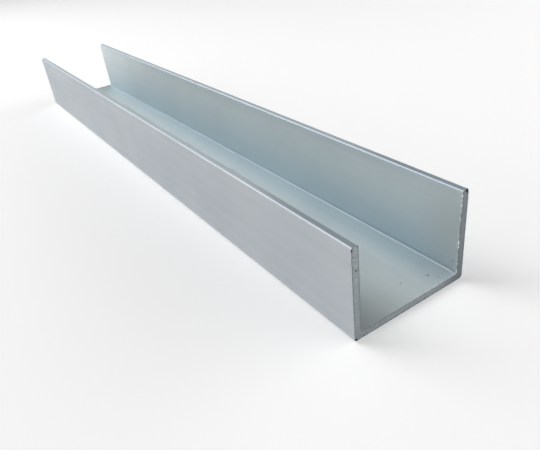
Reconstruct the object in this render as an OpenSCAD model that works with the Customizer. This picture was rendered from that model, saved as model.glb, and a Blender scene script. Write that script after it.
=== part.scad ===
// Equal-flange aluminium channel, cut from extruded stock.
// The web lies on the floor and the flanges stand up from it. The length runs along X,
// and the origin is in the middle of the web's underside.

/* [Stock] */
// Length of the piece, from one sawn end to the other
length = 500; // [100:1:4000]

/* [Section] */
// Width of the web, over the outsides of both flanges
section_w = 70; // [30:1:150]
// Height of the flanges, from the web's underside to their tips
section_h = 50; // [15:1:120]
// Thickness of the web
web_t = 4; // [2.5:0.1:10]
// Thickness of each flange
flange_t = 4; // [2.5:0.1:10]

/* [Edges] */
// Radius of the two long outside corners, under the flanges
corner_r = 1.5; // [0.3:0.1:5]
// Radius of the fillets inside, between the web and the flanges
fillet_r = 1; // [0.3:0.1:6]
// Radius of both edges of each flange tip
tip_r = 1; // [0.2:0.1:1.9]

/* [Hidden] */
$fn = 64;
// Clear width between the flanges
inside_w = section_w - 2 * flange_t;
// How far the cut for the inside runs above the flange tips
cut_over = 5;
mill_finish = [0.70, 0.73, 0.75];

// What lies between a square corner at the origin and the arc that rounds it
module edge_sliver(r) {
    difference() {
        square(r);
        translate([r, r]) circle(r);
    }
}

// The square-edged U, open at the top
module sharp_section() {
    difference() {
        translate([-section_w / 2, 0]) square([section_w, section_h]);
        translate([-inside_w / 2, web_t]) square([inside_w, section_h - web_t + cut_over]);
    }
}

// The material that the die leaves away along one side: the outside corner and the two tip edges
module rounded_away() {
    translate([-section_w / 2, 0]) edge_sliver(corner_r);
    translate([-section_w / 2, section_h]) mirror([0, 1]) edge_sliver(tip_r);
    translate([-inside_w / 2, section_h]) rotate(180) edge_sliver(tip_r);
}

// The material that the die adds along one side: the fillet at the flange's foot
module fillet() {
    translate([-inside_w / 2, web_t]) edge_sliver(fillet_r);
}

// The whole cross-section, across Y (drawn along x) and up Z (drawn along y)
module section() {
    difference() {
        sharp_section();
        rounded_away();
        mirror([1, 0]) rounded_away();
    }
    fillet();
    mirror([1, 0]) fillet();
}

// The piece of stock, with both ends sawn square
module channel() {
    color(mill_finish)
        rotate([90, 0, 90])
            translate([0, 0, -length / 2])
                linear_extrude(length) section();
}

channel();
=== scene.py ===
"""Dresses one length of aluminium channel, cut from extruded stock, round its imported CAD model.

The piece lies on its web with the flanges up, as in the photograph. Its length runs along X and the
photographed sawn end is at +X. Everything is in metres, in the frame of the CAD model.
"""

import logging
import math
from dataclasses import dataclass, field
from enum import Enum

import bpy
from mathutils import Matrix, Vector


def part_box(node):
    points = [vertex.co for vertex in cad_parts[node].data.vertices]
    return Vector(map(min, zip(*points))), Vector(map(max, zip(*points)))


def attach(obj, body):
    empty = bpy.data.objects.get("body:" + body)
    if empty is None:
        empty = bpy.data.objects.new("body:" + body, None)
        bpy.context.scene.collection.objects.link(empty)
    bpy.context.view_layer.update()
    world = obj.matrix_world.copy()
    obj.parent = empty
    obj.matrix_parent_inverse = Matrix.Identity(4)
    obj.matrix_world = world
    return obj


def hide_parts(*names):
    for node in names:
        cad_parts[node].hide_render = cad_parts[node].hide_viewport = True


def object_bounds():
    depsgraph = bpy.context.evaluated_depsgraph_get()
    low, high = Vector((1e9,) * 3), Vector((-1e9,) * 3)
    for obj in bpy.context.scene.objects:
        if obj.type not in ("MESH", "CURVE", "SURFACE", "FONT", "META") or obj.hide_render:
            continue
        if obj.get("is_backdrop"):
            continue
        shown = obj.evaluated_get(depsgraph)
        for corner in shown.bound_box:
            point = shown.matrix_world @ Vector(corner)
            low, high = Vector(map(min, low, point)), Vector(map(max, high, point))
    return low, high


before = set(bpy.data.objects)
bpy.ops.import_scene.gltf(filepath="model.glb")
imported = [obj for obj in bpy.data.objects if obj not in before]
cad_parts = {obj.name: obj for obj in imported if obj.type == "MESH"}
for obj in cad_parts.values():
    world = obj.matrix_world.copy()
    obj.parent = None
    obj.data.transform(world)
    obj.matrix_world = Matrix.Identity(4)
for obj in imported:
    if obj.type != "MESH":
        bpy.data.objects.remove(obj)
CAD_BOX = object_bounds()

MM = 0.001
HAIR = 0.001 * MM  # What is closer than this touches.
SENSOR_WIDTH_MM = 36.0

log = logging.getLogger("channel")

Socket = bpy.types.NodeSocket
Colour = tuple[float, float, float, float]
Span = tuple[float, float]


class Kind(Enum):
    """The kinds of named input that a geometry tree declares."""

    NUMBER = "NodeSocketFloat"
    COUNT = "NodeSocketInt"
    CHOICE = "NodeSocketBool"
    MATERIAL = "NodeSocketMaterial"
    GEOMETRY = "NodeSocketGeometry"


class End(Enum):
    """The two sawn ends, by the sign of their X."""

    NEAR = 1
    FAR = -1


class Crumbs(Enum):
    """What the saw leaves in crumbs, by the number that keeps their noises apart on one seed."""

    NICKS = 1
    BURR = 2


class Blend(Enum):
    """How a layer of colour goes on: over what is there, or as a tint of it."""

    COVER = "MIX"
    TINT = "MULTIPLY"


class Join(Enum):
    """How shares are joined: ALL holds where all of them do, and ANY where any of them does."""

    ALL = "MULTIPLY"
    ANY = "MAXIMUM"


class Side(Enum):
    """The two sides of the wall: the one outside the channel and the one round its hollow."""

    OUTER = "outer"
    INNER = "inner"


Layer = tuple[Socket, str, Blend]


def linear(hex_colour: str) -> Colour:
    """Turns an sRGB colour into the linear one that a shader reads.

    Args:
        hex_colour: The colour as "#RRGGBB".

    Returns:
        Linear red, green and blue, with an alpha of 1.
    """
    parts = (int(hex_colour[i : i + 2], 16) / 255 for i in (1, 3, 5))
    r, g, b = (c / 12.92 if c <= 0.04045 else ((c + 0.055) / 1.055) ** 2.4 for c in parts)
    return r, g, b, 1.0


@dataclass(frozen=True)
class Graph:
    """A node tree under way, with the sockets that carry its named inputs."""

    tree: bpy.types.NodeTree
    size: dict[str, Socket] = field(default_factory=dict)

    @classmethod
    def geometry(cls, name: str, inputs: dict[str, Kind]) -> "Graph":
        """Starts a geometry tree with its named inputs and one geometry output.

        Args:
            name: The tree's name.
            inputs: Input name to its kind.

        Returns:
            The graph.
        """
        tree = bpy.data.node_groups.new(name, "GeometryNodeTree")
        for input_name, kind in inputs.items():
            tree.interface.new_socket(input_name, in_out="INPUT", socket_type=kind.value)
        tree.interface.new_socket("Geometry", in_out="OUTPUT", socket_type=Kind.GEOMETRY.value)
        outputs = tree.nodes.new("NodeGroupInput").outputs
        return cls(tree, {input_name: outputs[input_name] for input_name in inputs})

    @classmethod
    def material(cls, name: str) -> "Graph":
        """Starts a material with an empty node tree, and returns its graph."""
        material = bpy.data.materials.new(name)
        material.use_nodes = True
        material.node_tree.nodes.clear()
        return cls(material.node_tree)

    def add(
        self, kind: str, feeds: dict[str | int, object] | None = None, out: str = "", **settings: object
    ) -> Socket | None:
        """Adds one node with its settings and feeds its inputs.

        Args:
            kind: Blender's name of the node's type.
            feeds: Input name, or its place among those in use, to a value, a socket or a list of sockets.
            out: Name of the output that is wanted, or nothing for the first one in use.
            **settings: The node's own properties.

        Returns:
            The wanted output, or None on a node that has no outputs.
        """
        node = self.tree.nodes.new(kind)
        for name, value in settings.items():
            setattr(node, name, value)
        inputs = [socket for socket in node.inputs if socket.enabled]
        for key, value in (feeds or {}).items():
            socket = inputs[key] if isinstance(key, int) else next(s for s in inputs if s.name == key)
            if isinstance(value, (Socket, list)):
                for source in value if isinstance(value, list) else [value]:
                    self.tree.links.new(source, socket)
            else:
                socket.default_value = value
        return next((s for s in node.outputs if s.enabled and s.name == (out or s.name)), None)

    def join(self, how: Join, *shares: Socket) -> Socket:
        """Joins shares into one.

        Args:
            how: What the joined share says.
            *shares: The shares.

        Returns:
            The joined share.
        """
        joined, *others = shares
        for share in others:
            joined = self.add("ShaderNodeMath", {0: joined, 1: share}, operation=how.value)
        return joined

    def fade(self, distance: Socket, reach: float | Socket, most: float = 1.0) -> Socket:
        """Adds a share that falls smoothly to 0 with distance.

        Args:
            distance: The distance, in metres.
            reach: Where the share has fallen to 0, in metres.
            most: The share at no distance.

        Returns:
            The share.
        """
        fall = {"Value": distance, "From Max": reach, "To Min": most, "To Max": 0.0}
        return self.add("ShaderNodeMapRange", fall, interpolation_type="SMOOTHSTEP")


def over(value: Socket, span: Span, unit: float = 1.0) -> dict[str, object]:
    """Returns what a map range needs to read a value over a span, which is given in some unit."""
    return {"Value": value, "From Min": span[0] * unit, "From Max": span[1] * unit}


def towards(azimuth: float, elevation: float) -> Vector:
    """Returns the way to an azimuth, from -Y towards +X, and an elevation, both in degrees."""
    round_z, up = math.radians(azimuth), math.radians(elevation)
    return Vector((math.sin(round_z) * math.cos(up), -math.cos(round_z) * math.cos(up), math.sin(up)))


def kinds(values: dict[str, object]) -> dict[str, Kind]:
    """Returns the kind of input that holds each value, by the value's name."""
    by_type = {float: Kind.NUMBER, int: Kind.COUNT, bpy.types.Material: Kind.MATERIAL}
    return {name: by_type[type(value)] for name, value in values.items()}


def bare_metal(
    graph: Graph, name: str, base: str, layers: list[Layer], roughness: Socket, relief: dict[str, object]
) -> bpy.types.Material:
    """Makes a bare metal from layers of colour, a roughness and fine relief.

    Args:
        graph: The material's graph.
        name: The material's name.
        base: The base colour as "#RRGGBB".
        layers: The share, the colour and the blend of each layer over it, in order.
        roughness: The roughness.
        relief: The height, strength and depth of the relief, by the bump's own names.

    Returns:
        The material.
    """
    colour = linear(base)
    for share, tone, blend in layers:
        tones = {"Factor": share, "A": colour, "B": linear(tone)}
        colour = graph.add("ShaderNodeMix", tones, data_type="RGBA", blend_type=blend.value)
    normal = graph.add("ShaderNodeBump", relief)
    surface = {"Base Color": colour, "Metallic": 1.0, "Roughness": roughness, "Normal": normal}
    shader = graph.add("ShaderNodeBsdfPrincipled", surface)
    graph.add("ShaderNodeOutputMaterial", {"Surface": shader})
    return bpy.data.materials[name]


@dataclass(frozen=True)
class Spot:
    """A round spot on the skin, for a stain or a patch of painted shade, in millimetres: its place and its
    radius.
    """

    x: float
    y: float
    z: float
    radius: float


@dataclass(frozen=True)
class MillFinish:
    """Aluminium as it leaves the extrusion press: satin, pale and bluish, with faint lines along it.

    The die drags fine grooves through the whole length, so the lines run along X. The natural oxide is
    thin and slightly cloudy, which shows as streaks and patches that are a little duller. The outside is
    painted darker, as painted shade, and the tops of the tips are tinted bluer, as a painted reflection.
    Shade is painted in the hollow too: a bluish darkening that climbs from the inside corners, a darker
    band in the fillets, and a darker tone on the rounded inner edges of the tips, the last two dimming
    their highlights. Near the +X end, two broad patches in the hollow and the tops of both tips are
    painted darker, as painted shade, and there are a few dark stains. The saw's burr is painted light,
    as a painted glint.

    The real grooves are some 0.1 mm apart, too fine to show, so they are drawn coarser, at line_mm.
    """

    name: str = "mill_finish_aluminium"
    colour: str = "#E1E7E8"
    dull_tint: str = "#F7F9FA"
    handled_colour: str = "#C9CED2"
    tip_colour: str = "#DFE9EF"
    film_colour: str = "#C4D2D8"
    grime_colour: str = "#B0BBC2"
    rim_colour: str = "#CAD5DD"
    smear_colour: str = "#C5CBCB"
    drip_colour: str = "#BDCAD3"
    stain_colour: str = "#6F7A80"
    burr_colour: str = "#EEF2F4"
    bright_roughness: float = 0.6
    dull_roughness: float = 0.66
    dull_span: Span = (0.75, 1.25)
    line_mm: float = 0.45
    line_depth_mm: float = 0.004
    line_strength: float = 0.6
    line_stretch: float = 250.0
    band_mm: float = 7.0
    cloud_mm: float = 45.0
    film_in_mm: float = 22.0
    film_up_mm: float = 36.0
    grime_mm: float = 1.8
    rim_mm: float = 1.0
    flat_mm: float = 0.05
    drip_span_mm: Span = (165.0, 215.0)
    # Broad patches of painted shade in the hollow near the +X end.
    smears: tuple[Spot, ...] = (
        Spot(252.0, -30.0, 4.0, 44.0),
        Spot(256.0, 31.0, 25.0, 40.0),
    )
    stains: tuple[Spot, ...] = (
        Spot(241.6, 20.1, 4.0, 1.0),
        Spot(237.4, 5.9, 4.0, 0.65),
        Spot(245.4, 22.4, 4.0, 0.5),
        Spot(246.4, 23.2, 4.0, 0.5),
        Spot(247.8, 31.0, 10.4, 0.6),
        Spot(246.6, 31.0, 10.1, 0.55),
    )

    def cornered(
        self, graph: Graph, place: Socket, corner: tuple[float, float], inwards: float, upwards: float
    ) -> Socket:
        """Adds a share for the shade that is painted in both inside corners.

        Args:
            graph: The material's graph.
            place: Object coordinates.
            corner: How far the corners lie from the middle, and their height, in metres.
            inwards: How far it spreads on the web, in millimetres.
            upwards: How far it climbs on the flanges, in millimetres.

        Returns:
            1 in a corner, falling to 0 away from it.
        """
        wider = upwards / inwards
        folded = graph.add("ShaderNodeVectorMath", {0: place}, operation="ABSOLUTE")
        across = graph.add("ShaderNodeVectorMath", {0: folded, 1: (0, wider, 1)}, operation="MULTIPLY")
        middle = (0, corner[0] * wider, corner[1])
        away = graph.add("ShaderNodeVectorMath", {0: across, 1: middle}, operation="DISTANCE")
        return graph.fade(away, upwards * MM)

    def spotted(self, graph: Graph, place: Socket, spots: tuple[Spot, ...]) -> Socket:
        """Adds soft round spots.

        Args:
            graph: The material's graph.
            place: Object coordinates.
            spots: The spots.

        Returns:
            1 in the middle of a spot, falling to 0 at its edge.
        """
        falls = []
        for spot in spots:
            centre = (spot.x * MM, spot.y * MM, spot.z * MM)
            away = graph.add("ShaderNodeVectorMath", {0: place, 1: centre}, operation="DISTANCE")
            falls.append(graph.fade(away, spot.radius * MM))
        return graph.join(Join.ANY, *falls)

    def build(self, corner_y: float, corner_z: float, tip_z: float) -> bpy.types.Material:
        """Builds the material.

        Args:
            corner_y: How far the inside corners lie from the middle, in metres.
            corner_z: Their height, in metres.
            tip_z: The height of the flange tips, in metres.

        Returns:
            The material.
        """
        graph = Graph.material(self.name)
        place = graph.add("ShaderNodeTexCoord", out="Object")
        drawn_out = {"Vector": place, "Scale": (1 / self.line_stretch, 1, 1)}
        along = graph.add("ShaderNodeMapping", drawn_out)
        lines, bands, clouds = (
            graph.add("ShaderNodeTexNoise", {"Vector": vector, "Scale": 1 / (length * MM)})
            for vector, length in ((along, self.line_mm), (along, self.band_mm), (place, self.cloud_mm))
        )
        uneven = graph.add("ShaderNodeMath", {0: bands, 1: clouds}, operation="ADD")
        dullness = graph.add("ShaderNodeMapRange", over(uneven, self.dull_span))
        hollow, raised = (
            graph.add("ShaderNodeAttribute", out="Fac", attribute_name=name)
            for name in ("hollow_share", "raised")
        )
        x, z = (graph.add("ShaderNodeSeparateXYZ", {0: place}, out=axis) for axis in "XZ")
        on_tip, near_tip = (
            graph.add("ShaderNodeMath", {0: z, 1: tip_z - below * MM}, operation="GREATER_THAN")
            for below in (self.flat_mm, self.rim_mm)
        )
        rim = graph.add("ShaderNodeMath", {0: near_tip, 1: on_tip}, operation="SUBTRACT")
        inside_or_tip = graph.join(Join.ANY, hollow, on_tip)
        outside_shade = graph.add("ShaderNodeMath", {0: 1.0, 1: inside_or_tip}, operation="SUBTRACT")
        corner = (corner_y, corner_z)
        corner_shade = self.cornered(graph, place, corner, self.film_in_mm, self.film_up_mm)
        fillet_shade = self.cornered(graph, place, corner, self.grime_mm, self.grime_mm)
        patch_shade = self.spotted(graph, place, self.smears)
        tip_shade_in = over(x, self.drip_span_mm, MM)
        tip_shade_share = graph.add("ShaderNodeMapRange", tip_shade_in, interpolation_type="SMOOTHSTEP")
        layers = [
            # Painted shade: everything outside the hollow, except the tip tops, is painted darker.
            (outside_shade, self.handled_colour, Blend.COVER),
            # Painted reflection: the flat tops of the tips are tinted bluer.
            (on_tip, self.tip_colour, Blend.COVER),
            (dullness, self.dull_tint, Blend.TINT),
            # Painted shade: a bluish darkening that climbs from the inside corners.
            (graph.join(Join.ALL, corner_shade, hollow), self.film_colour, Blend.COVER),
            # Painted shade: a darker band in the fillets, which dims their highlight.
            (graph.join(Join.ALL, fillet_shade, hollow), self.grime_colour, Blend.COVER),
            # Painted shade: a darker tone on the rounded inner edges of the tips, which dims their
            # highlight.
            (graph.join(Join.ALL, rim, hollow), self.rim_colour, Blend.COVER),
            # Painted shade: two broad darker patches in the hollow.
            (graph.join(Join.ALL, patch_shade, hollow), self.smear_colour, Blend.COVER),
            # Painted shade: the tops of the tips are painted darker towards the +X end.
            (graph.join(Join.ALL, tip_shade_share, on_tip), self.drip_colour, Blend.COVER),
            (self.spotted(graph, place, self.stains), self.stain_colour, Blend.COVER),
            # Painted glint: the burr's crumbs are painted light.
            (raised, self.burr_colour, Blend.COVER),
        ]
        rough_in = {"Value": dullness, "To Min": self.bright_roughness, "To Max": self.dull_roughness}
        roughness = graph.add("ShaderNodeMapRange", rough_in)
        grooves = {"Height": lines, "Strength": self.line_strength, "Distance": self.line_depth_mm * MM}
        return bare_metal(graph, self.name, self.colour, layers, roughness, grooves)


@dataclass(frozen=True)
class SawnFinish:
    """Aluminium freshly cut by a circular saw: greyer and darker than the skin, and grainy.

    The blade's marks are in the mesh. Fresh metal glints in lighter specks. The cut is painted darker
    towards +Y, as painted shade. Its nicks, a band along its edges and its pits are coloured nearly
    black, and the burr that the blade pushed up is painted light, as a painted glint.
    """

    name: str = "sawn_aluminium"
    colour: str = "#949B9F"
    fresh_colour: str = "#A9AFB0"
    rubbed_colour: str = "#7D8287"
    torn_colour: str = "#2A2B2E"
    burr_colour: str = "#E3E7EA"
    smooth_roughness: float = 0.42
    rough_roughness: float = 0.58
    fresh_mm: float = 1.6
    fresh_span: Span = (0.52, 0.75)
    rub_span_mm: Span = (12.0, 32.0)
    grain_mm: float = 0.6
    grain_depth_mm: float = 0.02
    grain_strength: float = 0.5
    grain_span: Span = (0.3, 0.7)

    def build(self) -> bpy.types.Material:
        """Builds the material.

        Returns:
            The material.
        """
        graph = Graph.material(self.name)
        place = graph.add("ShaderNodeTexCoord", out="Object")
        grain, specks = (
            graph.add("ShaderNodeTexNoise", {"Vector": place, "Scale": 1 / (length * MM)})
            for length in (self.grain_mm, self.fresh_mm)
        )
        fresh = graph.add("ShaderNodeMapRange", over(specks, self.fresh_span))
        y = graph.add("ShaderNodeSeparateXYZ", {0: place}, out="Y")
        side_shade_in = over(y, self.rub_span_mm, MM)
        side_shade = graph.add("ShaderNodeMapRange", side_shade_in, interpolation_type="SMOOTHSTEP")
        torn, raised = (
            graph.add("ShaderNodeAttribute", out="Fac", attribute_name=name) for name in ("torn", "raised")
        )
        layers = [
            (fresh, self.fresh_colour, Blend.COVER),
            # Painted shade: the cut is painted darker towards +Y.
            (side_shade, self.rubbed_colour, Blend.COVER),
            # Nicks, a band along the edges and pits are coloured nearly black.
            (torn, self.torn_colour, Blend.COVER),
            # Painted glint: the burr's crumbs are painted light.
            (raised, self.burr_colour, Blend.COVER),
        ]
        rough_in = {"To Min": self.smooth_roughness, "To Max": self.rough_roughness}
        roughness = graph.add("ShaderNodeMapRange", {**over(grain, self.grain_span), **rough_in})
        relief = {"Height": grain, "Strength": self.grain_strength, "Distance": self.grain_depth_mm * MM}
        return bare_metal(graph, self.name, self.colour, layers, roughness, relief)


@dataclass(frozen=True)
class Pit:
    """A pit in a sawn end: its place across it in millimetres, and its share of full size."""

    end: End
    y: float
    z: float
    share: float


@dataclass(frozen=True)
class SawCut:
    """What the saw leaves on each end. It only ever takes length away.

    The blade leaves shallow arcs round its axle, nicked edges with a dark band along them, and pits. It
    comes out of the metal at the right, so only there has it pushed a crumbly burr into the hollow.

    Lengths are in millimetres. A span says from where on something shows, and where it shows in full.
    """

    mark_pitch: float = 1.1
    mark_depth: float = 0.03
    blade_radius: float = 150.0
    blade_side: tuple[float, float, float] = (0.0, -0.4, 0.9)
    wander_length: float = 8.0
    wander_marks: float = 2.0
    edge_depth: float = 0.16
    edge_width: float = 0.45
    nick_length: float = 1.2
    nick_span: Span = (0.45, 0.75)
    least_nick: float = 0.25
    wear_width: float = 1.1
    tip_wear: float = 0.75
    wall_wear: float = 0.35
    burr_height: float = 0.5
    burr_length: float = 1.6
    burr_width: float = 0.5
    burr_from: float = -12.0
    burr_to: float = 6.0
    crumb_span: Span = (0.48, 0.66)
    pit_radius: float = 1.2
    pit_depth: float = 0.3
    dark_span: Span = (0.1, 0.45)
    deepest: float = 0.3
    seed: int = 3
    finish: SawnFinish = SawnFinish()
    pits: tuple[Pit, ...] = (
        Pit(End.NEAR, -34.0, 45.2, 0.55),
        Pit(End.NEAR, -32.9, 38.1, 0.7),
        Pit(End.NEAR, -34.2, 39.4, 0.45),
        Pit(End.NEAR, -32.2, 44.4, 0.4),
        Pit(End.NEAR, -34.6, 48.6, 0.75),
        Pit(End.NEAR, -31.5, 49.7, 0.6),
        Pit(End.NEAR, 34.3, 49.3, 1.6),
        Pit(End.NEAR, -34.3, 0.8, 1.0),
        Pit(End.NEAR, -30.0, 0.1, 0.9),
        Pit(End.NEAR, -26.0, 0.0, 0.6),
        Pit(End.NEAR, -14.0, 0.0, 0.5),
        Pit(End.NEAR, 3.5, 0.0, 0.5),
        Pit(End.NEAR, 9.0, 0.6, 0.6),
        Pit(End.NEAR, 16.0, 0.0, 0.5),
        Pit(End.FAR, 33.1, 21.0, 0.5),
        Pit(End.FAR, -12.0, 1.4, 0.4),
    )

    def values(self) -> dict[str, object]:
        """Returns the values of the graph's own inputs by name, with lengths in metres."""
        lengths = {
            "Mark Pitch": self.mark_pitch,
            "Mark Depth": self.mark_depth,
            "Blade Radius": self.blade_radius,
            "Wander Length": self.wander_length,
            "Edge Depth": self.edge_depth,
            "Edge Width": self.edge_width,
            "Nick Length": self.nick_length,
            "Wear Width": self.wear_width,
            "Burr Height": self.burr_height,
            "Burr Length": self.burr_length,
            "Burr Width": self.burr_width,
            "Burr From": self.burr_from,
            "Burr To": self.burr_to,
            "Pit Radius": self.pit_radius,
            "Pit Depth": self.pit_depth,
            "Deepest": self.deepest,
        }
        in_metres = {name: size * MM for name, size in lengths.items()}
        return {**in_metres, "Seed": self.seed, "Cut": self.finish.build()}

    def crumbs(
        self, graph: Graph, place: Socket, kind: Crumbs, length: str, span: Span, least: float = 0.0
    ) -> Socket:
        """Adds crumbs at random.

        Args:
            graph: The saw cut's graph.
            place: Position of each point.
            kind: What the crumbs are.
            length: The input that says how long a crumb is.
            span: The noise at a crumb's edge and at its middle.
            least: The share between crumbs.

        Returns:
            1 in the middle of a crumb, falling to the least between crumbs.
        """
        scale = graph.add("ShaderNodeMath", {0: 1.0, 1: graph.size[length]}, operation="DIVIDE")
        seed = graph.add("ShaderNodeMath", {0: graph.size["Seed"], 1: kind.value}, operation="ADD")
        noise_in = {"Vector": place, "W": seed, "Scale": scale}
        noise = graph.add("ShaderNodeTexNoise", noise_in, noise_dimensions="4D")
        return graph.add("ShaderNodeMapRange", {**over(noise, span), "To Min": least})

    def marks(self, graph: Graph, place: Socket, flat: Socket) -> Socket:
        """Adds the blade's arcs, which wander a little from true circles round its axle.

        Args:
            graph: The saw cut's graph.
            place: Position of each point.
            flat: 1 where the end is flat, falling to 0 at its edges.

        Returns:
            How deep the arcs go, in metres.
        """
        size = graph.size
        axle_in = {0: self.blade_side, "Scale": size["Blade Radius"]}
        axle = graph.add("ShaderNodeVectorMath", axle_in, operation="SCALE")
        across = graph.add("ShaderNodeVectorMath", {0: place, 1: (0, 1, 1)}, operation="MULTIPLY")
        reach = graph.add("ShaderNodeVectorMath", {0: across, 1: axle}, operation="DISTANCE")
        turns = graph.add("ShaderNodeMath", {0: reach, 1: size["Mark Pitch"]}, operation="DIVIDE")
        scale = graph.add("ShaderNodeMath", {0: 1.0, 1: size["Wander Length"]}, operation="DIVIDE")
        wander = graph.add("ShaderNodeTexNoise", {"Vector": place, "Scale": scale})
        wandered_in = {0: wander, 1: self.wander_marks, 2: turns}
        wandered = graph.add("ShaderNodeMath", wandered_in, operation="MULTIPLY_ADD")
        phase = graph.add("ShaderNodeMath", {0: wandered, 1: math.tau}, operation="MULTIPLY")
        wave = graph.add("ShaderNodeMath", {0: phase}, operation="SINE")
        depth_in = {"Value": wave, "From Min": -1.0, "To Max": size["Mark Depth"]}
        depth = graph.add("ShaderNodeMapRange", depth_in)
        return graph.join(Join.ALL, depth, flat)

    def pitted(self, graph: Graph, place: Socket) -> Socket:
        """Adds the pits.

        Args:
            graph: The saw cut's graph.
            place: Position of each point.

        Returns:
            A pit's share in its middle, falling to 0 at its edge.
        """
        falls = []
        for pit in self.pits:
            along_in = {0: graph.size["Half Length"], 1: float(pit.end.value)}
            along = graph.add("ShaderNodeMath", along_in, operation="MULTIPLY")
            centre = graph.add("ShaderNodeCombineXYZ", {"X": along, "Y": pit.y * MM, "Z": pit.z * MM})
            away = graph.add("ShaderNodeVectorMath", {0: place, 1: centre}, operation="DISTANCE")
            radius_in = {0: graph.size["Pit Radius"], 1: pit.share}
            radius = graph.add("ShaderNodeMath", radius_in, operation="MULTIPLY")
            falls.append(graph.fade(away, radius, most=pit.share))
        return graph.join(Join.ANY, *falls)

    def moved(self, graph: Graph, x: Socket, depth: Socket, burr: Socket) -> Socket:
        """Adds the way that each point goes: back into the channel, and with the burr into the hollow.

        Args:
            graph: The saw cut's graph.
            x: Where each point is along the channel.
            depth: How deep the saw has gone, in metres.
            burr: How much burr there is.

        Returns:
            The way.
        """
        most = graph.add("ShaderNodeMath", {0: depth, 1: graph.size["Deepest"]}, operation="MINIMUM")
        outwards = graph.add("ShaderNodeMath", {0: x}, operation="SIGN")
        inwards = graph.add("ShaderNodeMath", {0: outwards, 1: -1.0}, operation="MULTIPLY")
        back = graph.add("ShaderNodeMath", {0: most, 1: inwards}, operation="MULTIPLY")
        taken = graph.add("ShaderNodeCombineXYZ", {"X": back})
        height_in = {0: burr, 1: graph.size["Burr Height"]}
        height = graph.add("ShaderNodeMath", height_in, operation="MULTIPLY")
        normal = graph.add("GeometryNodeInputNormal")
        sideways = graph.add("ShaderNodeVectorMath", {0: normal, 1: (0, 1, 1)}, operation="MULTIPLY")
        away = graph.add("ShaderNodeVectorMath", {0: sideways}, operation="NORMALIZE")
        pushed = graph.add("ShaderNodeVectorMath", {0: away, "Scale": height}, operation="SCALE")
        return graph.add("ShaderNodeVectorMath", {0: taken, 1: pushed}, operation="ADD")

    def torn(self, graph: Graph, from_edge: Socket, wall: Socket, nicked: Socket, pits: Socket) -> Socket:
        """Adds where the cut is coloured dark: its nicks, a band along its edges, and its pits.

        Args:
            graph: The saw cut's graph.
            from_edge: How far each point is from the nearer edge, in metres.
            wall: 1 below the rounded tips, and 0 on them.
            nicked: How nicked each point is.
            pits: How deep in a pit each point is.

        Returns:
            1 where it is darkest.
        """
        edge_band = graph.fade(from_edge, graph.size["Wear Width"])
        most_in = {"Value": wall, "To Min": self.tip_wear, "To Max": self.wall_wear}
        dark_edges = graph.join(Join.ALL, edge_band, graph.add("ShaderNodeMapRange", most_in))
        dark = graph.add("ShaderNodeMapRange", over(pits, self.dark_span))
        return graph.join(Join.ANY, nicked, dark_edges, dark)

    def graph(self, section: dict[str, object]) -> tuple[Graph, dict[str, object]]:
        """Builds the graph that saws both ends of the channel.

        Args:
            section: The channel's own inputs by name. The graph takes the ones that it needs.

        Returns:
            The graph, and the value of each of its inputs by name.
        """
        values = {name: section[name] for name in ("Half Length", "Height", "Tip Radius")} | self.values()
        graph = Graph.geometry("Saw cut", {"Geometry": Kind.GEOMETRY, **kinds(values)})
        size = graph.size
        place = graph.add("GeometryNodeInputPosition")
        x, y, z = (graph.add("ShaderNodeSeparateXYZ", {0: place}, out=axis) for axis in "XYZ")
        along = graph.add("ShaderNodeMath", {0: x}, operation="ABSOLUTE")
        near_end = graph.add("ShaderNodeMath", {0: size["Half Length"], 1: HAIR}, operation="SUBTRACT")
        on_end = graph.add("ShaderNodeMath", {0: along, 1: near_end}, operation="GREATER_THAN")
        from_edge, hollow_share = (
            graph.add("GeometryNodeInputNamedAttribute", {"Name": name}, data_type="FLOAT")
            for name in ("from_edge", "hollow_share")
        )
        hollow = graph.add("ShaderNodeMath", {0: hollow_share, 1: 0.5}, operation="GREATER_THAN")
        foot_in = {0: size["Height"], 1: size["Tip Radius"]}
        tip_foot = graph.add("ShaderNodeMath", foot_in, operation="SUBTRACT")
        wall = graph.add("ShaderNodeMath", {0: z, 1: tip_foot}, operation="LESS_THAN")
        at_edge = graph.add("ShaderNodeMath", {0: from_edge, 1: HAIR}, operation="LESS_THAN")
        flat_in = {"Value": from_edge, "From Max": size["Edge Width"]}
        flat = graph.add("ShaderNodeMapRange", flat_in, interpolation_type="SMOOTHSTEP")
        edge = graph.add("ShaderNodeMath", {0: 1.0, 1: flat}, operation="SUBTRACT")
        nicks = self.crumbs(graph, place, Crumbs.NICKS, "Nick Length", self.nick_span, self.least_nick)
        nicked = graph.join(Join.ALL, nicks, edge)
        pits = self.pitted(graph, place)
        depth = self.marks(graph, place, flat)
        for share, most in ((nicked, size["Edge Depth"]), (pits, size["Pit Depth"])):
            deeper_in = {0: share, 1: most, 2: depth}
            depth = graph.add("ShaderNodeMath", deeper_in, operation="MULTIPLY_ADD")
        side_in = {"Value": y, "From Min": size["Burr From"], "From Max": size["Burr To"]}
        side = graph.add("ShaderNodeMapRange", side_in)
        crumbs = self.crumbs(graph, place, Crumbs.BURR, "Burr Length", self.crumb_span)
        crumb = graph.join(Join.ALL, crumbs, side)
        burr = graph.join(Join.ALL, crumb, hollow, wall, at_edge)
        notes = {
            "torn": self.torn(graph, from_edge, wall, nicked, pits),
            "raised": graph.join(Join.ALL, crumb, graph.fade(from_edge, size["Burr Width"]), hollow),
        }
        noted = size["Geometry"]
        for name, value in notes.items():
            note_in = {"Geometry": noted, "Selection": on_end, "Name": name, "Value": value}
            noted = graph.add("GeometryNodeStoreNamedAttribute", note_in, data_type="FLOAT")
        offset = self.moved(graph, x, depth, burr)
        sawn_in = {"Geometry": noted, "Selection": on_end, "Offset": offset}
        sawn = graph.add("GeometryNodeSetPosition", sawn_in)
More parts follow.
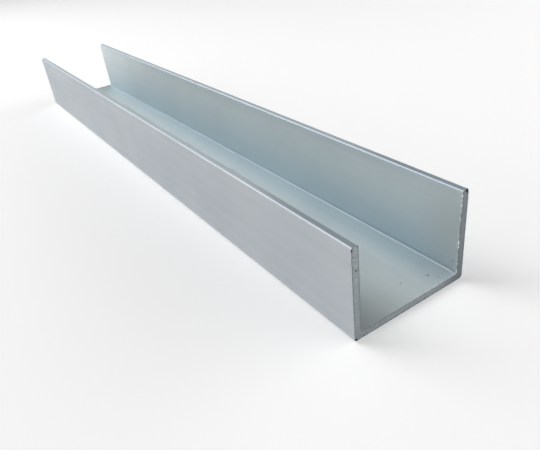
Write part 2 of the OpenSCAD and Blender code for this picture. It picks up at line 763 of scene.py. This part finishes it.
        real = graph.add("GeometryNodeRealizeInstances", {"Geometry": sawn})
        is_sawn = graph.add("GeometryNodeInputNamedAttribute", {"Name": "sawn"}, data_type="BOOLEAN")
        dressed_in = {"Geometry": real, "Selection": is_sawn, "Material": size["Cut"]}
        dressed = graph.add("GeometryNodeSetMaterial", dressed_in)
        graph.add("NodeGroupOutput", {"Geometry": dressed})
        return graph, values


@dataclass
class Channel:
    """The length of channel: one extruded wall, bent round a hollow, with a sawn end each way.

    The box comes from the CAD model, in metres, and the other sizes are in millimetres. The counts say
    how finely each stretch of the wall is divided, and the first ring how close to an end its points
    begin. An edge that turns by more than the crisp angle, in degrees, isn't smoothed over.
    """

    low: Vector
    high: Vector
    web: float = 4.0
    flange: float = 4.0
    corner_radius: float = 1.5
    fillet_radius: float = 1.0
    tip_radius: float = 1.0
    arc_steps: int = 8
    flange_steps: int = 160
    web_steps: int = 230
    tip_steps: int = 4
    wall_steps: int = 14
    length_steps: int = 24
    first_ring: float = 0.9
    wall_crowding: float = 2.0
    crisp_angle: float = 35.0
    finish: MillFinish = MillFinish()
    cut: SawCut = SawCut()

    def wall_line(self) -> Graph:
        """Builds the graph of one side of the wall: the line from one flange tip's middle to the other's.

        Returns:
            The graph, whose geometry is one poly curve across Y and Z.
        """
        places = ("Place Along", "Half Width", "Foot Height", "Tip Height", "Tip Middle")
        lengths = (*places, "Foot Radius", "Tip Radius")
        counts = ("Arc Steps", "Flange Steps", "Web Steps", "Tip Steps")
        inputs = {**dict.fromkeys(lengths, Kind.NUMBER), **dict.fromkeys(counts, Kind.COUNT)}
        graph = Graph.geometry("Wall line", inputs)
        size = graph.size
        index = graph.add("GeometryNodeInputIndex")
        left = {
            name: graph.add("ShaderNodeMath", {0: size[name], 1: -1.0}, operation="MULTIPLY")
            for name in ("Half Width", "Tip Middle")
        }
        corners = (
            (left["Tip Middle"], size["Tip Height"], 0.0),
            (left["Half Width"], size["Tip Height"], size["Tip Radius"]),
            (left["Half Width"], size["Foot Height"], size["Foot Radius"]),
            (size["Half Width"], size["Foot Height"], size["Foot Radius"]),
            (size["Half Width"], size["Tip Height"], size["Tip Radius"]),
            (size["Tip Middle"], size["Tip Height"], 0.0),
        )
        place = graph.add("GeometryNodeIndexSwitch", {"Index": index}, data_type="VECTOR")
        radius = graph.add("GeometryNodeIndexSwitch", {"Index": index}, data_type="FLOAT")
        for _ in corners[2:]:
            place.node.index_switch_items.new()
            radius.node.index_switch_items.new()
        for i, (y, z, turn) in enumerate(corners):
            point = graph.add("ShaderNodeCombineXYZ", {"X": size["Place Along"], "Y": y, "Z": z})
            graph.tree.links.new(point, place.node.inputs[str(i)])
            if isinstance(turn, Socket):
                graph.tree.links.new(turn, radius.node.inputs[str(i)])
        line = graph.add("GeometryNodeMeshLine", {"Count": len(corners)})
        placed = graph.add("GeometryNodeSetPosition", {"Geometry": line, "Position": place})
        sharp = graph.add("GeometryNodeMeshToCurve", {"Mesh": placed})
        turned_in = {"Curve": sharp, "Count": size["Arc Steps"], "Radius": radius}
        turned = graph.add("GeometryNodeFilletCurve", turned_in, mode="POLY")
        arc_points = graph.add("FunctionNodeIntegerMath", {0: size["Arc Steps"], 1: 1}, operation="ADD")
        stretches = ("Tip Steps", "Flange Steps", "Web Steps", "Flange Steps", "Tip Steps")
        stretch_in = {0: index, 1: arc_points}
        stretch = graph.add("FunctionNodeIntegerMath", stretch_in, operation="DIVIDE_FLOOR")
        count = graph.add("GeometryNodeIndexSwitch", {"Index": stretch}, data_type="INT")
        for _ in stretches[2:]:
            count.node.index_switch_items.new()
        for i, name in enumerate(stretches):
            cuts = graph.add("FunctionNodeIntegerMath", {0: size[name], 1: 1}, operation="SUBTRACT")
            graph.tree.links.new(cuts, count.node.inputs[str(i)])
        rest = graph.add("FunctionNodeIntegerMath", stretch_in, operation="MODULO")
        straight_in = {0: rest, 1: 0}
        straight = graph.add("FunctionNodeCompare", straight_in, data_type="INT", operation="EQUAL")
        cuts_in = {"Switch": straight, "True": count}
        straight_cuts = graph.add("GeometryNodeSwitch", cuts_in, input_type="INT")
        divided = graph.add("GeometryNodeSubdivideCurve", {"Curve": turned, "Cuts": straight_cuts})
        graph.add("NodeGroupOutput", {"Geometry": divided})
        return graph

    def ruled_sheet(self) -> Graph:
        """Builds the graph of a sheet ruled between two lines, with rows crowded towards both of them.

        Returns:
            The graph. Its mesh stores how far each point is from the nearer line, how far it has come
            from the outside (0) to the hollow (1), and which faces are sawn.
        """
        inputs = {
            "From": Kind.GEOMETRY,
            "To": Kind.GEOMETRY,
            "Steps": Kind.COUNT,
            "Crowding": Kind.NUMBER,
            "Hollow From": Kind.NUMBER,
            "Hollow To": Kind.NUMBER,
            "Turned": Kind.CHOICE,
            "Sawn": Kind.CHOICE,
        }
        graph = Graph.geometry("Ruled sheet", inputs)
        size = graph.size
        rows = graph.add("GeometryNodeAttributeDomainSize", {0: size["From"]}, component="CURVE")
        columns = graph.add("FunctionNodeIntegerMath", {0: size["Steps"], 1: 1}, operation="ADD")
        grid_in = {"Vertices X": rows, "Vertices Y": columns}
        grid = graph.add("GeometryNodeMeshGrid", grid_in, out="Mesh")
        index = graph.add("GeometryNodeInputIndex")
        row = graph.add("FunctionNodeIntegerMath", {0: index, 1: columns}, operation="DIVIDE_FLOOR")
        column = graph.add("FunctionNodeIntegerMath", {0: index, 1: columns}, operation="MODULO")
        place = graph.add("GeometryNodeInputPosition")
        point_in = {"Value": place, "Index": row}
        first, second = (
            graph.add("GeometryNodeSampleIndex", {"Geometry": line, **point_in}, data_type="FLOAT_VECTOR")
            for line in (size["From"], size["To"])
        )
        even_in = {"Value": column, "From Max": size["Steps"], "To Min": -1.0}
        even = graph.add("ShaderNodeMapRange", even_in)
        outwards = graph.add("ShaderNodeMath", {0: even}, operation="ABSOLUTE")
        inwards = graph.add("ShaderNodeMath", {0: 1.0, 1: outwards}, operation="SUBTRACT")
        crowded = graph.add("ShaderNodeMath", {0: inwards, 1: size["Crowding"]}, operation="POWER")
        share = graph.add("ShaderNodeMath", {0: crowded, 1: 0.5}, operation="MULTIPLY")
        other_share = graph.add("ShaderNodeMath", {0: 1.0, 1: share}, operation="SUBTRACT")
        past_middle = graph.add("FunctionNodeCompare", {0: even, 1: 0.0}, operation="GREATER_THAN")
        across_in = {"Switch": past_middle, "False": share, "True": other_share}
        across = graph.add("GeometryNodeSwitch", across_in, input_type="FLOAT")
        ruled_in = {"Factor": across, "A": first, "B": second}
        point = graph.add("ShaderNodeMix", ruled_in, data_type="VECTOR")
        ruled = graph.add("GeometryNodeSetPosition", {"Geometry": grid, "Position": point})
        span = graph.add("ShaderNodeVectorMath", {0: first, 1: second}, operation="DISTANCE")
        from_edge = graph.add("ShaderNodeMath", {0: share, 1: span}, operation="MULTIPLY")
        hollow_in = {"Factor": across, "A": size["Hollow From"], "B": size["Hollow To"]}
        hollow = graph.add("ShaderNodeMix", hollow_in, data_type="FLOAT")
        notes = (
            ("from_edge", from_edge, {"data_type": "FLOAT"}),
            ("hollow_share", hollow, {"data_type": "FLOAT"}),
            ("sawn", size["Sawn"], {"data_type": "BOOLEAN", "domain": "FACE"}),
        )
        noted = ruled
        for name, value, kept in notes:
            note_in = {"Geometry": noted, "Name": name, "Value": value}
            noted = graph.add("GeometryNodeStoreNamedAttribute", note_in, **kept)
        facing = graph.add("GeometryNodeFlipFaces", {"Mesh": noted, "Selection": size["Turned"]})
        graph.add("NodeGroupOutput", {"Geometry": facing})
        return graph

    def graph(self) -> tuple[Graph, dict[str, object]]:
        """Builds the whole channel's graph.

        Returns:
            The graph, and the value of each of its inputs by name.
        """
        length = self.high.x - self.low.x
        crowding = math.log(length / 2 / (self.first_ring * MM)) / math.log(self.length_steps / 2)
        corner_y = self.high.y - self.flange * MM
        corner_z = self.low.z + self.web * MM
        values = {
            "Half Length": length / 2,
            "Half Width": (self.high.y - self.low.y) / 2,
            "Height": self.high.z - self.low.z,
            "Web": self.web * MM,
            "Flange": self.flange * MM,
            "Corner Radius": self.corner_radius * MM,
            "Fillet Radius": self.fillet_radius * MM,
            "Tip Radius": self.tip_radius * MM,
            "Length Crowding": crowding,
            "Wall Crowding": self.wall_crowding,
            "Arc Steps": self.arc_steps,
            "Flange Steps": self.flange_steps,
            "Web Steps": self.web_steps,
            "Tip Steps": self.tip_steps,
            "Wall Steps": self.wall_steps,
            "Length Steps": self.length_steps,
            "Skin": self.finish.build(corner_y, corner_z, tip_z=self.high.z),
        }
        graph = Graph.geometry("Channel", kinds(values))
        size = graph.size
        half_flange = graph.add("ShaderNodeMath", {0: size["Flange"], 1: 0.5}, operation="MULTIPLY")
        tip_middle, half_hollow = (
            graph.add("ShaderNodeMath", {0: size["Half Width"], 1: wall}, operation="SUBTRACT")
            for wall in (half_flange, size["Flange"])
        )
        sides = {
            Side.OUTER: {"Half Width": size["Half Width"], "Foot Radius": size["Corner Radius"]},
            Side.INNER: {"Half Width": half_hollow, "Foot Radius": size["Fillet Radius"]},
        }
        sides[Side.INNER]["Foot Height"] = size["Web"]
        wall_line = self.wall_line().tree
        lines = {}
        for end in End:
            along_in = {0: size["Half Length"], 1: float(end.value)}
            along = graph.add("ShaderNodeMath", along_in, operation="MULTIPLY")
            same = {"Place Along": along, "Tip Height": size["Height"], "Tip Middle": tip_middle}
            for name in ("Tip Radius", "Arc Steps", "Flange Steps", "Web Steps", "Tip Steps"):
                same[name] = size[name]
            for side, feeds in sides.items():
                line_in = {**same, **feeds}
                lines[side, end] = graph.add("GeometryNodeGroup", line_in, node_tree=wall_line)
        sheet = self.ruled_sheet().tree
        skin = {"Steps": size["Length Steps"], "Crowding": size["Length Crowding"]}
        inside = {"Hollow From": 1.0, "Hollow To": 1.0, "Turned": True}
        face = {"Steps": size["Wall Steps"], "Crowding": size["Wall Crowding"], "Hollow To": 1.0}
        outer_far, outer_near = lines[Side.OUTER, End.FAR], lines[Side.OUTER, End.NEAR]
        inner_far, inner_near = lines[Side.INNER, End.FAR], lines[Side.INNER, End.NEAR]
        sheets = (
            {"From": outer_far, "To": outer_near, **skin},
            {"From": inner_far, "To": inner_near, **skin, **inside},
            {"From": outer_near, "To": inner_near, "Sawn": True, **face},
            {"From": outer_far, "To": inner_far, "Turned": True, "Sawn": True, **face},
        )
        parts = [graph.add("GeometryNodeGroup", feeds, node_tree=sheet) for feeds in sheets]
        loose = graph.add("GeometryNodeJoinGeometry", {0: parts})
        closed = graph.add("GeometryNodeMergeByDistance", {"Geometry": loose, "Distance": HAIR})
        smooth = graph.add("GeometryNodeSetShadeSmooth", {"Geometry": closed}, domain="FACE")
        angle = graph.add("GeometryNodeInputMeshEdgeAngle", out="Unsigned Angle")
        keen_in = {0: angle, 1: math.radians(self.crisp_angle)}
        keen = graph.add("FunctionNodeCompare", keen_in, operation="GREATER_THAN")
        crisp_in = {"Geometry": smooth, "Selection": keen, "Shade Smooth": False}
        crisp = graph.add("GeometryNodeSetShadeSmooth", crisp_in, domain="EDGE")
        real = graph.add("GeometryNodeRealizeInstances", {"Geometry": crisp})
        skinned = graph.add("GeometryNodeSetMaterial", {"Geometry": real, "Material": size["Skin"]})
        graph.add("NodeGroupOutput", {"Geometry": skinned})
        return graph, values

    def build(self) -> bpy.types.Object:
        """Builds the channel as a plain mesh, with its finishes.

        Returns:
            The channel's object.
        """
        maker = bpy.data.objects.new("maker", bpy.data.meshes.new("maker"))
        bpy.context.scene.collection.objects.link(maker)
        whole, section = self.graph()
        for graph, values in ((whole, section), self.cut.graph(section)):
            modifier = maker.modifiers.new(graph.tree.name, "NODES")
            modifier.node_group = graph.tree
            for item in graph.tree.interface.items_tree:
                if item.in_out == "INPUT" and item.name in values:
                    modifier[item.identifier] = values[item.name]
        whole_scene = bpy.context.evaluated_depsgraph_get()
        mesh = bpy.data.meshes.new_from_object(maker.evaluated_get(whole_scene), depsgraph=whole_scene)
        mesh.name = "extruded_channel"
        mesh.materials.pop(index=0)
        maker.modifiers.clear()
        bpy.data.objects.remove(maker)
        piece = bpy.data.objects.new("extruded_channel", mesh)
        bpy.context.scene.collection.objects.link(piece)
        log.info("extruded_channel: %d faces, %d materials", len(mesh.polygons), len(mesh.materials))
        return piece


@dataclass
class PhotoCamera:
    """The camera of the photograph, solved from the channel's corners in it. Lengths are in metres."""

    lens_mm: float = 36.071
    place: tuple[float, float, float] = (0.38637, -0.14915, 0.17158)
    azimuth: float = 59.883
    elevation: float = 31.128
    roll: float = -7.558

    def build(self) -> bpy.types.Object:
        """Returns the camera, set as the scene's own."""
        back = towards(self.azimuth, self.elevation)
        level = Vector((0, 0, 1)).cross(back).normalized()
        right = Matrix.Rotation(math.radians(self.roll), 3, back) @ level
        turn = Matrix((right, back.cross(right), back)).transposed()
        data = bpy.data.cameras.new("photo_camera")
        data.lens = self.lens_mm
        data.sensor_width = SENSOR_WIDTH_MM
        data.clip_start, data.clip_end = 0.01, 20.0
        camera = bpy.data.objects.new("photo_camera", data)
        camera.matrix_world = Matrix.Translation(self.place) @ turn.to_4x4()
        bpy.context.scene.collection.objects.link(camera)
        bpy.context.scene.camera = camera
        return camera


@dataclass(frozen=True)
class Softbox:
    """A rectangular softbox that faces the channel from a distance.

    Angles are in degrees and lengths in metres. The radiance is 1 for a box that looks as bright as
    white paper.
    """

    name: str
    azimuth: float
    elevation: float
    radiance: float
    width: float
    height: float
    distance: float = 1.6
    aim: tuple[float, float, float] = (0.1, 0.0, 0.02)

    def build(self) -> bpy.types.Object:
        """Returns the lamp, which the camera doesn't see."""
        outwards = towards(self.azimuth, self.elevation)
        data = bpy.data.lights.new(self.name, "AREA")
        data.shape = "RECTANGLE"
        data.size, data.size_y = self.width, self.height
        data.energy = self.radiance * math.pi * self.width * self.height
        lamp = bpy.data.objects.new(self.name, data)
        lamp.location = Vector(self.aim) + outwards * self.distance
        lamp.rotation_euler = outwards.to_track_quat("Z", "Y").to_euler()
        lamp.visible_camera = False
        bpy.context.scene.collection.objects.link(lamp)
        return lamp


@dataclass
class Studio:
    """A plain white floor in a dim grey room, with three softboxes round the channel.

    The tall key stands at the left, past the far end. The broad fill stands low at the right, past the
    photographed end, and a small low box lights the left flange from its own side. The floor's lift is
    what makes it look white. It is light that only the camera and mirrored rays see, so it adds none to
    what stands on the floor.
    """

    floor_size: float = 12.0
    floor_gap: float = 0.0002
    floor_colour: str = "#F0F0F0"
    floor_lift: float = 0.26
    ambient: float = 0.12
    boxes: tuple[Softbox, ...] = (
        Softbox("key_softbox", azimuth=-60, elevation=44, radiance=3.4, width=0.9, height=1.9),
        Softbox("fill_softbox", azimuth=144, elevation=17, radiance=3.4, width=3.0, height=0.95),
        Softbox("low_softbox", azimuth=-10, elevation=20, radiance=2.0, width=1.3, height=0.5),
    )

    def floor(self) -> bpy.types.Object:
        """Returns the floor, which looks white but for the channel's shadow, and is clear from below."""
        half = self.floor_size / 2
        turns = ((-1, -1), (1, -1), (1, 1), (-1, 1))
        corners = [(x * half, y * half, -self.floor_gap) for x, y in turns]
        mesh = bpy.data.meshes.new("floor")
        mesh.from_pydata(corners, [], [(0, 1, 2, 3)])
        graph = Graph.material("white_floor")
        names = ("Is Camera Ray", "Is Glossy Ray", "Is Transmission Ray")
        rays = (graph.add("ShaderNodeLightPath", out=name) for name in names)
        seen = graph.join(Join.ANY, *rays)
        lift = graph.add("ShaderNodeMath", {0: seen, 1: self.floor_lift}, operation="MULTIPLY")
        shader_in = {
            "Base Color": linear(self.floor_colour),
            "Roughness": 0.9,
            "Specular IOR Level": 0.0,
            "Emission Color": (1, 1, 1, 1),
            "Emission Strength": lift,
        }
        shader = graph.add("ShaderNodeBsdfPrincipled", shader_in)
        clear = graph.add("ShaderNodeBsdfTransparent")
        below = graph.add("ShaderNodeNewGeometry", out="Backfacing")
        surface = graph.add("ShaderNodeMixShader", {0: below, 1: shader, 2: clear})
        graph.add("ShaderNodeOutputMaterial", {"Surface": surface})
        mesh.materials.append(bpy.data.materials["white_floor"])
        floor = bpy.data.objects.new("floor", mesh)
        bpy.context.scene.collection.objects.link(floor)
        floor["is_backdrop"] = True
        return floor

    def world(self) -> None:
        """Gives the room its plain soft light."""
        world = bpy.data.worlds.new("grey_room")
        world.use_nodes = True
        world.node_tree.nodes.clear()
        graph = Graph(world.node_tree)
        light = {"Color": (1, 1, 1, 1), "Strength": self.ambient}
        background = graph.add("ShaderNodeBackground", light)
        graph.add("ShaderNodeOutputWorld", {"Surface": background})
        bpy.context.scene.world = world

    def build(self) -> None:
        """Builds the floor, the room and the lights."""
        self.floor()
        self.world()
        for box in self.boxes:
            box.build()
        bpy.context.scene.view_settings.view_transform = "Standard"


def main() -> None:
    """Builds the scene in order, and reports each piece."""
    logging.basicConfig(level=logging.INFO, format="%(name)s: %(message)s")
    PhotoCamera().build()
    Studio().build()
    channel = Channel(*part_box("channel")).build()
    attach(channel, "root")
    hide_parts("channel")
    boxes = {"cad": CAD_BOX, "visual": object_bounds()}
    for name, box in boxes.items():
        log.info("%s box: %s", name, [[round(value, 5) for value in corner] for corner in box])


if __name__ == "__main__":
    main()
